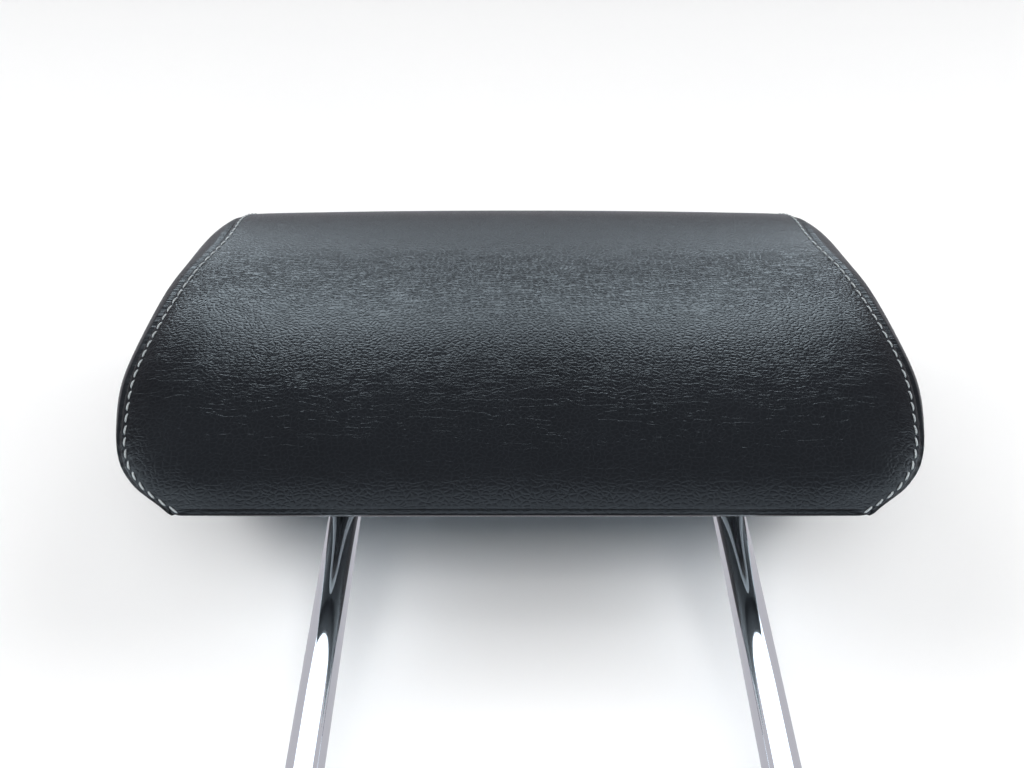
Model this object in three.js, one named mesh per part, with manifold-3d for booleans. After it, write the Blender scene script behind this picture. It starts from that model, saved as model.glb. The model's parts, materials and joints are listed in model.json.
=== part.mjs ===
// Car headrest: a leather-covered foam pad that tilts on the crossbar of a bent chrome post frame.
// Millimetres. +Z is up, -Y is the side that faces the head, X runs across the seat.
// The origin is midway between the two post axes, level with the pad's lower lip.

import * as THREE from 'three';
import { mergeVertices } from 'three/addons/utils/BufferGeometryUtils.js';
import Module from 'manifold-3d';

const wasm = await Module();
wasm.setup();

// Post frame
const POST_SPACING = 148;
const POST_DIAMETER = 12;
const POST_WALL = 2;
const POST_BEND_RADIUS = 20;
const POST_TIP_DEPTH = 150;
const POST_TIP_CHAMFER = 1;
const CROSSBAR_HEIGHT = 88;
const NOTCH_COUNT = 3;
const NOTCH_PITCH = 20;
const NOTCH_DEPTH = 1.2;
const NOTCH_HEIGHT = 5;
const NOTCH_START = 80;

// Pad
const PAD_WIDTH = 287;
const PAD_HEIGHT = 188;
const PAD_FRONT = 66.4;
const PAD_BACK = 41;
const PAD_SIDE_SHIFT = -7;
const PAD_CROWN = 1.5;
const LIP_ROLL = 1;
const LOWER_TAPER = 6;
const LOWER_TAPER_SHARE = 0.35;
const SEAM_TUCK = 20;
const SEAM_DEPTH = 5;
const SEAM_ROLL = 20;
const SEAM_ROLL_SHAPE = 2.4;
const SIDE_FULLNESS = 2.3;
const SIDE_FULL_FROM = 9;
const SIDE_FULL_SPAN = 46;
const COVER_THICKNESS = 2;
const SEAM_GAP = 0.3;
const TOP_PADDING = 38;
const BASE_PADDING = 8;

// Tilt
const TILT_RANGE = 18;
const TILT_STOP_GAP = 0.5;

// Carrier inside the foam
const CARRIER_WALL = 3;
const CARRIER_SIDE_MARGIN = 20;
const CARRIER_FRONT_MARGIN = 2;
const PARTING_BACK_OF_BAR = 2;
const SADDLE_WEB = 4;
const SADDLE_WIDTH = 18;
const RIB_THICKNESS = 2;
const RIB_SPACING = 31;
const RIB_GAP = 2;
const BOSS_RADIUS = 4.5;
const BOSS_INSET = 10;

// Fasteners and friction clips
const CARRIER_SCREW_RADIUS = 1.6;
const CARRIER_SCREW_HEAD_RADIUS = 3.4;
const CARRIER_SCREW_HEAD_HEIGHT = 2.2;
const CARRIER_SCREW_LENGTH = 18;
const CLIP_OFFSET = 30;
const CLIP_WIDTH = 14;
const CLIP_THICKNESS = 1.6;
const CLIP_FOOT_LENGTH = 10;
const CLIP_SCREW_RADIUS = 1.3;
const CLIP_SCREW_HEAD_RADIUS = 2.6;
const CLIP_SCREW_HEAD_HEIGHT = 1.6;
const CLIP_SCREW_LENGTH = 9;

// Bezels around the posts, in the underside
const BEZEL_SIDE_CLEARANCE = 0.7;
const BEZEL_END_CLEARANCE = 1;
const BEZEL_COLLAR_WALL = 1.6;
const BEZEL_TO_CARRIER = 3;
const BEZEL_FLANGE_LAP = 4.5;
const BEZEL_FLANGE_THICKNESS = 1.6;

// Hooked strips that close the cover, in a groove of the foam
const STRIP_LENGTH = 170;
const STRIP_THICKNESS = 1.4;
const STRIP_GROOVE_DEPTH = 10;
const STRIP_GROOVE_HEIGHT = 9;
const STRIP_GROOVE_INSET = 11;
const STRIP_GROOVE_FLOOR = 1;
const STRIP_SLOT_HEIGHT = 3.2;

// Clearance between pieces that seat on each other
const PLAY = 0.3;

// How far a cutting solid runs past the face that it cuts
const OVERCUT = 2;

// Side profile of the pad, from the lip up the front, over the top and down the back.
// Each point is a share of the front or back reach, then a share of the height.
const PROFILE = [
  [-0.813, 0],
  [-0.926, 0.074],
  [-0.994, 0.223],
  [-0.986, 0.414],
  [-0.904, 0.627],
  [-0.708, 0.834],
  [-0.377, 0.972],
  [0.097, 0.994],
  [0.681, 0.893],
  [0.925, 0.712],
  [0.998, 0.531],
  [0.961, 0.404],
  [0.754, 0.324],
];

// Side seam, from the lip to the back's lower edge. Each row is a share of the profile's length,
// then shares of three sizes: SEAM_TUCK, how far the seam lies inside the pad's full half width,
// SEAM_DEPTH, how deep it is drawn in, and SEAM_ROLL, how wide the roll beside it is.
const SEAM = [
  [0, 1.775, 0.3, 1.3],
  [0.022, 1.15, 0.9, 1.5],
  [0.054, 0.75, 1.3, 1.6],
  [0.092, 0.575, 1.4, 1.6],
  [0.141, 0.475, 1.3, 1.5],
  [0.206, 0.55, 1.1, 1.2],
  [0.282, 0.74, 0.75, 1],
  [0.366, 1, 0.55, 0.8],
  [0.46, 0.9, 0.4, 0.7],
  [0.555, 0.95, 0.4, 0.7],
  [0.664, 0.95, 0.6, 0.8],
  [0.813, 0.975, 1, 1],
  [0.935, 1.225, 1, 1],
  [1, 1.575, 0.3, 1],
];

// Rows of the pad's skin
const WRAP_ROWS = 30;
const WRAP_ROW_CROWDING = 1.2;
const TOP_SEAM_ROW = 22;
const WRAP_COLUMNS = 16;
const WRAP_COLUMN_CROWDING = 0.3;
const UNDERSIDE_ROWS = [0, 0.05, 0.1, 0.17, 0.35, 0.6, 0.85, 1];
const SIDE_RINGS = [0, 0.04, 0.1, 0.19, 0.32, 0.52, 0.76, 1];
const SIDE_CENTRE = { share: 0.1, height: 0.505 };

// Derived sizes
const postRadius = POST_DIAMETER / 2;
const legX = POST_SPACING / 2;
const padHalfWidth = PAD_WIDTH / 2;
const tilt = THREE.MathUtils.degToRad(TILT_RANGE);
const lipY = PROFILE[0][0] * PAD_FRONT;
const baseEnd = PROFILE[PROFILE.length - 1];
const baseSlope = (baseEnd[1] * PAD_HEIGHT) / (baseEnd[0] * PAD_BACK - lipY);
const baseSecant = Math.hypot(1, baseSlope);
const baseHeight = (y) => baseSlope * (y - lipY);

const carrierHalfWidth = legX + postRadius + CARRIER_SIDE_MARGIN;
const carrierBack = postRadius + PLAY + SADDLE_WEB + CARRIER_WALL;
const carrierBottom = baseHeight(carrierBack) + BASE_PADDING;
const carrierTop = PAD_HEIGHT - TOP_PADDING;
const legReach = (drop) => drop * Math.tan(tilt) + postRadius / Math.cos(tilt);
const stopFront = -legReach(CROSSBAR_HEIGHT - carrierBottom) - TILT_STOP_GAP;
const stopBack = postRadius + TILT_STOP_GAP;
const carrierFront = stopFront - CARRIER_FRONT_MARGIN - CARRIER_WALL;
const partingY = PARTING_BACK_OF_BAR;

const flangeDrop = (PLAY + BEZEL_FLANGE_THICKNESS) * baseSecant;
const reachAtBase = legReach(CROSSBAR_HEIGHT - baseHeight(0) + flangeDrop);
const slotFront = -reachAtBase / (1 - baseSlope * Math.tan(tilt)) - BEZEL_END_CLEARANCE;
const slotBack = postRadius + BEZEL_END_CLEARANCE;
const slotHalfWidth = postRadius + BEZEL_SIDE_CLEARANCE;

// Materials
const surface = (color, roughness, metalness) => {
  return new THREE.MeshStandardMaterial({ color, roughness, metalness });
};
const leather = surface(0x23262c, 0.5, 0);
const chrome = surface(0xd8dade, 0.08, 1);
const trimPlastic = surface(0x1a1b1d, 0.55, 0);
const carrierPlastic = surface(0x2c2d2f, 0.6, 0);
const springSteel = surface(0x8c8f94, 0.35, 1);
const foam = surface(0xb9b39c, 0.95, 0);

const headrest = new THREE.Group();

function addPiece(name, shape, material) {
  const geometry = shape.isBufferGeometry ? shape : toGeometry(shape);
  const mesh = new THREE.Mesh(geometry, material);
  mesh.name = name;
  headrest.add(mesh);
}

// Solids and geometries

function toSolid(geometry) {
  const plain = geometry.clone();
  plain.deleteAttribute('normal');
  plain.deleteAttribute('uv');
  const merged = mergeVertices(plain, 1e-4);
  return new wasm.Manifold(new wasm.Mesh({
    numProp: 3,
    vertProperties: new Float32Array(merged.attributes.position.array),
    triVerts: new Uint32Array(merged.index.array),
  }));
}

function toGeometry(solid) {
  const mesh = solid.getMesh();
  const geometry = new THREE.BufferGeometry();
  const positions = new Float32Array(mesh.vertProperties);
  geometry.setAttribute('position', new THREE.BufferAttribute(positions, 3));
  geometry.setIndex(new THREE.BufferAttribute(new Uint32Array(mesh.triVerts), 1));
  geometry.computeVertexNormals();
  return geometry;
}

function box(x, y, z) {
  const geometry = new THREE.BoxGeometry(x[1] - x[0], y[1] - y[0], z[1] - z[0]);
  geometry.translate((x[0] + x[1]) / 2, (y[0] + y[1]) / 2, (z[0] + z[1]) / 2);
  return toSolid(geometry);
}

// A round bar along Y, from front to back.
function barAlongY(x, z, radius, front, back, sides = 16) {
  const geometry = new THREE.CylinderGeometry(radius, radius, back - front, sides);
  geometry.translate(x, (front + back) / 2, z);
  return toSolid(geometry);
}

// A pan-head screw along Y: the head's seat is at seatY and the shank runs in direction sign.
function screw(x, seatY, z, sign, shankRadius, length, headRadius, headHeight) {
  const outline = [
    new THREE.Vector2(0, -length),
    new THREE.Vector2(shankRadius * 0.4, -length),
    new THREE.Vector2(shankRadius, -length + shankRadius),
    new THREE.Vector2(shankRadius, 0),
    new THREE.Vector2(headRadius, 0),
    new THREE.Vector2(headRadius, headHeight * 0.6),
    new THREE.Vector2(headRadius * 0.7, headHeight),
    new THREE.Vector2(0, headHeight),
  ];
  const geometry = new THREE.LatheGeometry(outline, 12);
  if (sign > 0) geometry.rotateX(Math.PI);
  geometry.translate(x, seatY, z);
  const socket = new THREE.CylinderGeometry(headRadius * 0.4, headRadius * 0.4, headHeight, 6);
  socket.translate(x, seatY - sign * headHeight, z);
  return toSolid(geometry).subtract(toSolid(socket));
}

// Post frame: one tube bent into an upside-down U

const BEND_STEPS = 6;

class BentTubePath extends THREE.Curve {
  constructor() {
    super();
    const top = CROSSBAR_HEIGHT - POST_BEND_RADIUS;
    const inner = legX - POST_BEND_RADIUS;
    this.stations = [];
    this.addStation(-legX, -POST_TIP_DEPTH, Math.PI / 2);
    for (const side of [-1, 1]) {
      for (let k = 0; k <= BEND_STEPS; k++) {
        const turn = side < 0 ? k / BEND_STEPS : 1 - k / BEND_STEPS;
        const angle = turn * Math.PI / 2;
        const x = side * (inner + POST_BEND_RADIUS * Math.cos(angle));
        const z = top + POST_BEND_RADIUS * Math.sin(angle);
        this.addStation(x, z, side < 0 ? Math.PI / 2 - angle : angle - Math.PI / 2);
      }
    }
    this.addStation(legX, -POST_TIP_DEPTH, -Math.PI / 2);
  }

  addStation(x, z, heading) {
    const tangent = new THREE.Vector3(Math.cos(heading), 0, Math.sin(heading));
    this.stations.push({ point: new THREE.Vector3(x, 0, z), tangent });
  }

  station(u) {
    return this.stations[Math.round(u * (this.stations.length - 1))];
  }

  getPointAt(u) {
    return this.station(u).point.clone();
  }

  getTangentAt(u) {
    return this.station(u).tangent.clone();
  }
}

function ringShape(outerRadius, innerRadius) {
  const ring = new THREE.Shape();
  ring.absarc(0, 0, outerRadius, 0, Math.PI * 2);
  const bore = new THREE.Path();
  bore.absarc(0, 0, innerRadius, 0, Math.PI * 2, true);
  ring.holes.push(bore);
  return ring;
}

function postFrame() {
  const path = new BentTubePath();
  const tube = new THREE.ExtrudeGeometry(ringShape(postRadius, postRadius - POST_WALL), {
    steps: path.stations.length - 1,
    curveSegments: 10,
    bevelEnabled: false,
    extrudePath: path,
  });
  let frame = toSolid(tube);
  const chamfer = new THREE.LatheGeometry([
    new THREE.Vector2(postRadius - POST_TIP_CHAMFER, -OVERCUT),
    new THREE.Vector2(postRadius + OVERCUT, -OVERCUT),
    new THREE.Vector2(postRadius + OVERCUT, POST_TIP_CHAMFER + OVERCUT),
    new THREE.Vector2(postRadius - POST_TIP_CHAMFER, 0),
    new THREE.Vector2(postRadius - POST_TIP_CHAMFER, -OVERCUT),
  ], 24);
  chamfer.rotateX(Math.PI / 2);
  for (const side of [-1, 1]) {
    const cutter = chamfer.clone().translate(side * legX, 0, -POST_TIP_DEPTH);
    frame = frame.subtract(toSolid(cutter));
  }
  for (let k = 0; k < NOTCH_COUNT; k++) {
    const z = -NOTCH_START - k * NOTCH_PITCH;
    const floor = -legX + postRadius - NOTCH_DEPTH;
    const half = NOTCH_HEIGHT / 2;
    const notchX = [floor, floor + NOTCH_DEPTH + OVERCUT];
    frame = frame.subtract(box(notchX, [-postRadius, postRadius], [z - half, z + half]));
  }
  return frame;
}

// Pad skin: a wrap panel, an underside panel and two side panels that share their seam points

const wrapCurve = new THREE.SplineCurve(PROFILE.map(([share, height]) => {
  return new THREE.Vector2(share * (share < 0 ? PAD_FRONT : PAD_BACK), height * PAD_HEIGHT);
}));
wrapCurve.arcLengthDivisions = 1200;

// A smooth curve through a column of the seam list, read at a share of the profile's length.
function seamValue(column, along) {
  const last = SEAM.length - 2;
  let k = 0;
  while (k < last && along > SEAM[k + 1][0]) k++;
  const slope = (n) => {
    const a = SEAM[Math.max(n - 1, 0)];
    const b = SEAM[Math.min(n + 1, SEAM.length - 1)];
    return (b[column] - a[column]) / (b[0] - a[0]);
  };
  const [start, end] = [SEAM[k], SEAM[k + 1]];
  const width = end[0] - start[0];
  const t = (along - start[0]) / width;
  const rise = 3 * t * t - 2 * t * t * t;
  const leave = (t * t * t - 2 * t * t + t) * width * slope(k);
  const arrive = (t * t * t - t * t) * width * slope(k + 1);
  return start[column] * (1 - rise) + end[column] * rise + leave + arrive;
}

// The wrap panel: the side profile carried across the pad, crowned, and drawn in at the side seams.
function wrapPoint(along, across) {
  const place = wrapCurve.getPointAt(along);
  const tangent = wrapCurve.getTangentAt(along);
  const halfWidth = padHalfWidth - SEAM_TUCK * seamValue(1, along);
  const rollWidth = SEAM_ROLL * seamValue(3, along);
  const x = across * halfWidth;
  const edge = Math.max(0, (Math.abs(x) - halfWidth + rollWidth) / rollWidth);
  const crown = PAD_CROWN * Math.sin(Math.PI * along);
  const depth = SEAM_DEPTH * seamValue(2, along) - crown;
  const inset = crown * across * across + depth * edge ** SEAM_ROLL_SHAPE;
  return new THREE.Vector3(
    x + PAD_SIDE_SHIFT,
    place.x + tangent.y * inset,
    place.y - tangent.x * inset,
  );
}

const skinPoints = [];
const skinLookup = new Map();

function pointId(point) {
  const key = point.toArray().map((value) => Math.round(value * 1e4)).join(' ');
  if (!skinLookup.has(key)) {
    skinLookup.set(key, skinPoints.length);
    skinPoints.push(point);
  }
  return skinLookup.get(key);
}

const columns = Array.from({ length: WRAP_COLUMNS + 1 }, (_, j) => {
  const t = (2 * j) / WRAP_COLUMNS - 1;
  return t + WRAP_COLUMN_CROWDING * (t - t * t * t);
});
const wrapGrid = Array.from({ length: WRAP_ROWS + 1 }, (_, i) => {
  const along = (i / WRAP_ROWS) ** WRAP_ROW_CROWDING;
  return columns.map((across) => pointId(wrapPoint(along, across)));
});

const baseOut = new THREE.Vector3(0, baseSlope / baseSecant, -1 / baseSecant);
const lipRollEnd = UNDERSIDE_ROWS[3];
const baseGrid = UNDERSIDE_ROWS.map((share) => columns.map((_, j) => {
  const front = skinPoints[wrapGrid[0][j]];
  const back = skinPoints[wrapGrid[WRAP_ROWS][j]];
  const roll = LIP_ROLL * Math.sin(Math.PI * Math.min(1, share / lipRollEnd));
  return pointId(front.clone().lerp(back, share).addScaledVector(baseOut, Math.max(0, roll)));
}));

// A side panel: rings from its seam to its middle, bulging out to the pad's full half width.
// It leaves the seam more steeply higher up, where the pad is fuller.
function sideGrid(side) {
  const column = side < 0 ? 0 : WRAP_COLUMNS;
  const under = baseGrid.slice(1, -1).reverse();
  const rim = [...wrapGrid, ...under].map((row) => skinPoints[row[column]]);
  const middle = new THREE.Vector3(0, SIDE_CENTRE.share * PAD_BACK, SIDE_CENTRE.height * PAD_HEIGHT);
  return SIDE_RINGS.map((share) => rim.map((seam) => {
    const point = seam.clone().lerp(middle, share);
    const lift = THREE.MathUtils.smoothstep(seam.z, SIDE_FULL_FROM, SIDE_FULL_FROM + SIDE_FULL_SPAN);
    const full = 1 + (SIDE_FULLNESS - 1) * lift;
    const rise = Math.sqrt((1 - (1 - share) ** (5 * full)) * (1 - (1 - share) ** (3 * full)));
    const low = Math.max(0, 1 - point.z / (LOWER_TAPER_SHARE * PAD_HEIGHT));
    const reach = padHalfWidth - LOWER_TAPER * low * low * (1 - share);
    const seamReach = Math.abs(seam.x - PAD_SIDE_SHIFT);
    point.x = PAD_SIDE_SHIFT + side * (seamReach + (reach - seamReach) * rise);
    return pointId(point);
  }));
}

function gridFaces(grid, flip, closed) {
  const faces = [];
  for (let i = 0; i + 1 < grid.length; i++) {
    const count = grid[i].length;
    for (let j = 0; j < (closed ? count : count - 1); j++) {
      const next = (j + 1) % count;
      faces.push([grid[i][j], grid[i][next], grid[i + 1][j]]);
      faces.push([grid[i][next], grid[i + 1][next], grid[i + 1][j]]);
    }
  }
  const whole = faces.filter(([a, b, c]) => a !== b && b !== c && c !== a);
  return flip ? whole.map(([a, b, c]) => [a, c, b]) : whole;
}

const sideGrids = { left: sideGrid(-1), right: sideGrid(1) };
const panels = {
  cover_front: { grid: wrapGrid.slice(0, TOP_SEAM_ROW + 1), flip: false, closed: false },
  cover_back: { grid: wrapGrid.slice(TOP_SEAM_ROW), flip: false, closed: false },
  cover_bottom: { grid: baseGrid, flip: true, closed: false },
  cover_side_left: { grid: sideGrids.left, flip: false, closed: true },
  cover_side_right: { grid: sideGrids.right, flip: true, closed: true },
};
for (const panel of Object.values(panels)) {
  panel.faces = gridFaces(panel.grid, panel.flip, panel.closed);
}
const skinFaces = Object.values(panels).flatMap((panel) => panel.faces);

// Which way each skin point moves for every millimetre that the skin is offset inwards.
const inwards = skinPoints.map(() => new THREE.Vector3());
const faceNormals = skinFaces.map((face) => {
  const [a, b, c] = face.map((id) => skinPoints[id]);
  return b.clone().sub(a).cross(c.clone().sub(a));
});
skinFaces.forEach((face, k) => face.forEach((id) => inwards[id].sub(faceNormals[k])));
inwards.forEach((direction) => direction.normalize());
const spread = skinPoints.map(() => ({ sum: 0, area: 0 }));
skinFaces.forEach((face, k) => face.forEach((id) => {
  spread[id].sum -= faceNormals[k].dot(inwards[id]);
  spread[id].area += faceNormals[k].length();
}));
inwards.forEach((direction, id) => direction.multiplyScalar(spread[id].area / spread[id].sum));

function offsetSkin(depth) {
  return skinPoints.map((point, id) => point.clone().addScaledVector(inwards[id], depth));
}

function facesToSolid(points, faces) {
  return new wasm.Manifold(new wasm.Mesh({
    numProp: 3,
    vertProperties: new Float32Array(points.flatMap((point) => point.toArray())),
    triVerts: new Uint32Array(faces.flat()),
  }));
}

// A cover panel: its outer face, its inner face and the wall between their edges.
// Each edge is drawn back square to the wall, so that neighbouring panels don't touch.
function coverPanel({ faces }) {
  const inner = offsetSkin(COVER_THICKNESS);
  const edges = new Set(faces.flatMap(([a, b, c]) => [`${a} ${b}`, `${b} ${c}`, `${c} ${a}`]));
  const rim = [...edges].map((edge) => edge.split(' ').map(Number));
  const openRim = rim.filter(([a, b]) => !edges.has(`${b} ${a}`));
  const shift = new Map();
  for (const [a, b] of openRim) {
    const along = skinPoints[b].clone().sub(skinPoints[a]);
    for (const id of [a, b]) {
      const square = along.clone().cross(inwards[id]).normalize();
      shift.set(id, [...(shift.get(id) ?? []), square]);
    }
  }
  const drawnBack = (points, id) => {
    const moved = points[id].clone();
    if (!shift.has(id)) return moved;
    const [first, second] = shift.get(id);
    const mitre = SEAM_GAP / (1 + first.dot(second));
    return moved.addScaledVector(first, mitre).addScaledVector(second, mitre);
  };
  const ids = [...new Set(faces.flat())];
  const local = new Map(ids.map((id, k) => [id, k]));
  const count = ids.length;
  const points = [
    ...ids.map((id) => drawnBack(skinPoints, id)),
    ...ids.map((id) => drawnBack(inner, id)),
  ];
  const outerFaces = faces.map((face) => face.map((id) => local.get(id)));
  const innerFaces = outerFaces.map(([a, b, c]) => [a + count, c + count, b + count]);
  const wallFaces = openRim.flatMap(([first, second]) => {
    const [a, b] = [local.get(first), local.get(second)];
    return [[b, a, a + count], [b, a + count, b + count]];
  });
  return facesToSolid(points, [...outerFaces, ...innerFaces, ...wallFaces]);
}

// Bezels: an upright collar around the post's slot and a flange that follows the underside

// A slot-shaped prism. Heights are measured from the sloping underside.
function slotPrism(x, halfWidth, front, back, low, high) {
  const shape = new THREE.Shape();
  shape.absarc(0, back - halfWidth, halfWidth, 0, Math.PI);
  shape.absarc(0, front + halfWidth, halfWidth, Math.PI, Math.PI * 2);
  const geometry = new THREE.ExtrudeGeometry(shape, {
    depth: high - low,
    curveSegments: 7,
    bevelEnabled: false,
  });
  geometry.translate(x, 0, low);
  geometry.applyMatrix4(new THREE.Matrix4().set(
    1, 0, 0, 0,
    0, 1, 0, 0,
    0, baseSlope, 1, baseHeight(0),
    0, 0, 0, 1,
  ));
  return toSolid(geometry);
}

function widerSlot(x, margin, low, high) {
  const halfWidth = slotHalfWidth + margin;
  return slotPrism(x, halfWidth, slotFront - margin, slotBack + margin, low, high);
}

// Heights above the sloping underside.
const collarTop = carrierBottom - baseHeight(slotBack + BEZEL_COLLAR_WALL) - BEZEL_TO_CARRIER;
const flangeTop = -PLAY * baseSecant;

function postBezel(x) {
  const flange = widerSlot(x, BEZEL_COLLAR_WALL + BEZEL_FLANGE_LAP, -flangeDrop, flangeTop);
  const collar = widerSlot(x, BEZEL_COLLAR_WALL, -flangeDrop, collarTop);
  return flange.add(collar).subtract(widerSlot(x, 0, -flangeDrop - OVERCUT, collarTop + OVERCUT));
}

function cutBezelSeats(solid) {
  let cut = solid;
  for (const side of [-1, 1]) {
    const seat = widerSlot(side * legX, BEZEL_COLLAR_WALL + PLAY, -OVERCUT, collarTop + PLAY);
    cut = cut.subtract(seat);
  }
  return cut;
}

// Closure strips: two hooks in a groove above the underside's back edge

const grooveBack = baseEnd[0] * PAD_BACK - COVER_THICKNESS;
const grooveLow = baseEnd[1] * PAD_HEIGHT + STRIP_GROOVE_FLOOR;
const groove = {
  y: [grooveBack - STRIP_GROOVE_INSET, grooveBack - STRIP_GROOVE_INSET + STRIP_GROOVE_DEPTH],
  z: [grooveLow, grooveLow + STRIP_GROOVE_HEIGHT],
};

function stripProfile(points) {
  const shape = new THREE.Shape(points.map(([y, z]) => new THREE.Vector2(y, z)));
  const geometry = new THREE.ExtrudeGeometry(shape, { depth: STRIP_LENGTH, bevelEnabled: false });
  const axes = new THREE.Matrix4().makeBasis(
    new THREE.Vector3(0, 1, 0),
    new THREE.Vector3(0, 0, 1),
    new THREE.Vector3(1, 0, 0),
  );
  geometry.applyMatrix4(axes);
  geometry.translate(PAD_SIDE_SHIFT - STRIP_LENGTH / 2, 0, 0);
  return geometry;
}

function closureStrips() {
  const [front, back] = [groove.y[0] + PLAY, groove.y[1] - PLAY];
  const [low, high] = [groove.z[0] + PLAY, groove.z[1] - PLAY];
  const wall = STRIP_THICKNESS;
  const hookGap = wall + 2 * PLAY;
  const upper = stripProfile([
    [back - wall, low + wall + 2 * PLAY],
    [back, low + wall + 2 * PLAY],
    [back, high],
    [front, high],
    [front, low + 2 * wall],
    [front + wall, low + 2 * wall],
    [front + wall, high - wall],
    [back - wall, high - wall],
  ]);
  const lower = stripProfile([
    [front + hookGap, low],
    [back, low],
    [back, low + wall],
    [front + hookGap + wall, low + wall],
    [front + hookGap + wall, high - wall - 2 * PLAY],
    [front + hookGap, high - wall - 2 * PLAY],
  ]);
  return { upper, lower };
}

// Foam core

function foamCore() {
  const blank = facesToSolid(offsetSkin(COVER_THICKNESS + PLAY), skinFaces);
  const half = carrierHalfWidth + PLAY;
  const pocket = box(
    [-half, half],
    [carrierFront - PLAY, carrierBack + PLAY],
    [carrierBottom - PLAY, carrierTop + PLAY],
  );
  let core = cutBezelSeats(blank.subtract(pocket));
  for (const side of [-1, 1]) {
    const passage = widerSlot(side * legX, 0, 0, carrierBottom - baseHeight(slotFront));
    core = core.subtract(passage);
  }
  const stripHalf = STRIP_LENGTH / 2 + PLAY;
  const stripX = [PAD_SIDE_SHIFT - stripHalf, PAD_SIDE_SHIFT + stripHalf];
  const mouthY = [groove.y[1] - OVERCUT, PAD_BACK + OVERCUT];
  const mouthZ = [groove.z[0], groove.z[0] + STRIP_SLOT_HEIGHT];
  core = core.subtract(box(stripX, groove.y, groove.z));
  return core.subtract(box(stripX, mouthY, mouthZ));
}

// Carrier: two trays that meet behind the crossbar and hold it in saddles

const bossX = carrierHalfWidth - BOSS_INSET;
const bossPlaces = [
  [-bossX, carrierBottom + BOSS_INSET],
  [bossX, carrierBottom + BOSS_INSET],
  [-bossX, carrierTop - BOSS_INSET],
  [bossX, carrierTop - BOSS_INSET],
];
const clipFootZ = postRadius + PLAY + CLIP_THICKNESS + CLIP_FOOT_LENGTH / 2;
const clipScrewPlaces = [];
for (const [name, x] of [['left', -CLIP_OFFSET], ['right', CLIP_OFFSET]]) {
  clipScrewPlaces.push({ name: `${name}_upper`, x, z: CROSSBAR_HEIGHT + clipFootZ });
  clipScrewPlaces.push({ name: `${name}_lower`, x, z: CROSSBAR_HEIGHT - clipFootZ });
}
const clipBack = -PLAY;
const clipFront = clipBack - CLIP_THICKNESS;
const saddleHalfHeight = postRadius + PLAY + CLIP_THICKNESS + CLIP_FOOT_LENGTH;
const ribBottom = CROSSBAR_HEIGHT + saddleHalfHeight + RIB_GAP;

function carrierTray(y, wallAtFront) {
  const x = [-carrierHalfWidth, carrierHalfWidth];
  const z = [carrierBottom, carrierTop];
  const wall = CARRIER_WALL;
  const hollowY = wallAtFront ? [y[0] + wall, y[1] + OVERCUT] : [y[0] - OVERCUT, y[1] - wall];
  const hollow = box([x[0] + wall, x[1] - wall], hollowY, [z[0] + wall, z[1] - wall]);
  let tray = box(x, y, z).subtract(hollow);
  for (const [bossAtX, bossAtZ] of bossPlaces) {
    tray = tray.add(barAlongY(bossAtX, bossAtZ, BOSS_RADIUS, y[0], y[1]));
  }
  const ribCount = Math.floor((carrierHalfWidth - 2 * BOSS_INSET) / RIB_SPACING);
  for (let k = -ribCount; k <= ribCount; k++) {
    const ribX = [k * RIB_SPACING - RIB_THICKNESS / 2, k * RIB_SPACING + RIB_THICKNESS / 2];
    tray = tray.add(box(ribX, y, [ribBottom, carrierTop - wall / 2]));
  }
  for (const side of [-1, 1]) {
    const slotX = [side * legX - slotHalfWidth, side * legX + slotHalfWidth];
    const slotZ = [carrierBottom - OVERCUT, carrierBottom + wall + OVERCUT];
    tray = tray.subtract(box(slotX, [stopFront, stopBack], slotZ));
  }
  return tray;
}

function carrierFrontShell() {
  let shell = carrierTray([carrierFront, partingY - PLAY / 2], true);
  const holeFront = carrierBack - PLAY - CARRIER_SCREW_HEAD_HEIGHT - CARRIER_SCREW_LENGTH - PLAY;
  for (const [x, z] of bossPlaces) {
    const hole = barAlongY(x, z, CARRIER_SCREW_RADIUS + PLAY, holeFront, partingY + OVERCUT, 12);
    shell = shell.subtract(hole);
  }
  return shell;
}

function carrierBackShell() {
  let shell = carrierTray([partingY + PLAY / 2, carrierBack], false);
  const saddleZ = [CROSSBAR_HEIGHT - saddleHalfHeight, CROSSBAR_HEIGHT + saddleHalfHeight];
  for (const side of [-1, 1]) {
    const middle = side * CLIP_OFFSET;
    const saddleX = [middle - SADDLE_WIDTH / 2, middle + SADDLE_WIDTH / 2];
    shell = shell.add(box(saddleX, [0, carrierBack - CARRIER_WALL / 2], saddleZ));
  }
  const groove = new THREE.CylinderGeometry(postRadius + PLAY, postRadius + PLAY, 2 * legX, 24);
  groove.rotateZ(Math.PI / 2);
  groove.translate(0, 0, CROSSBAR_HEIGHT);
  shell = shell.subtract(toSolid(groove));
  for (const { x, z } of clipScrewPlaces) {
    const holeBack = clipFront + CLIP_SCREW_LENGTH;
    shell = shell.subtract(barAlongY(x, z, CLIP_SCREW_RADIUS + PLAY, -OVERCUT, holeBack, 12));
  }
  for (const [x, z] of bossPlaces) {
    const headRadius = CARRIER_SCREW_HEAD_RADIUS + PLAY;
    const seat = carrierBack - CARRIER_SCREW_HEAD_HEIGHT - 2 * PLAY;
    const holeRadius = CARRIER_SCREW_RADIUS + PLAY;
    shell = shell.subtract(barAlongY(x, z, headRadius, seat, carrierBack + OVERCUT));
    shell = shell.subtract(barAlongY(x, z, holeRadius, partingY - OVERCUT, seat + OVERCUT, 12));
  }
  return shell;
}

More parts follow.
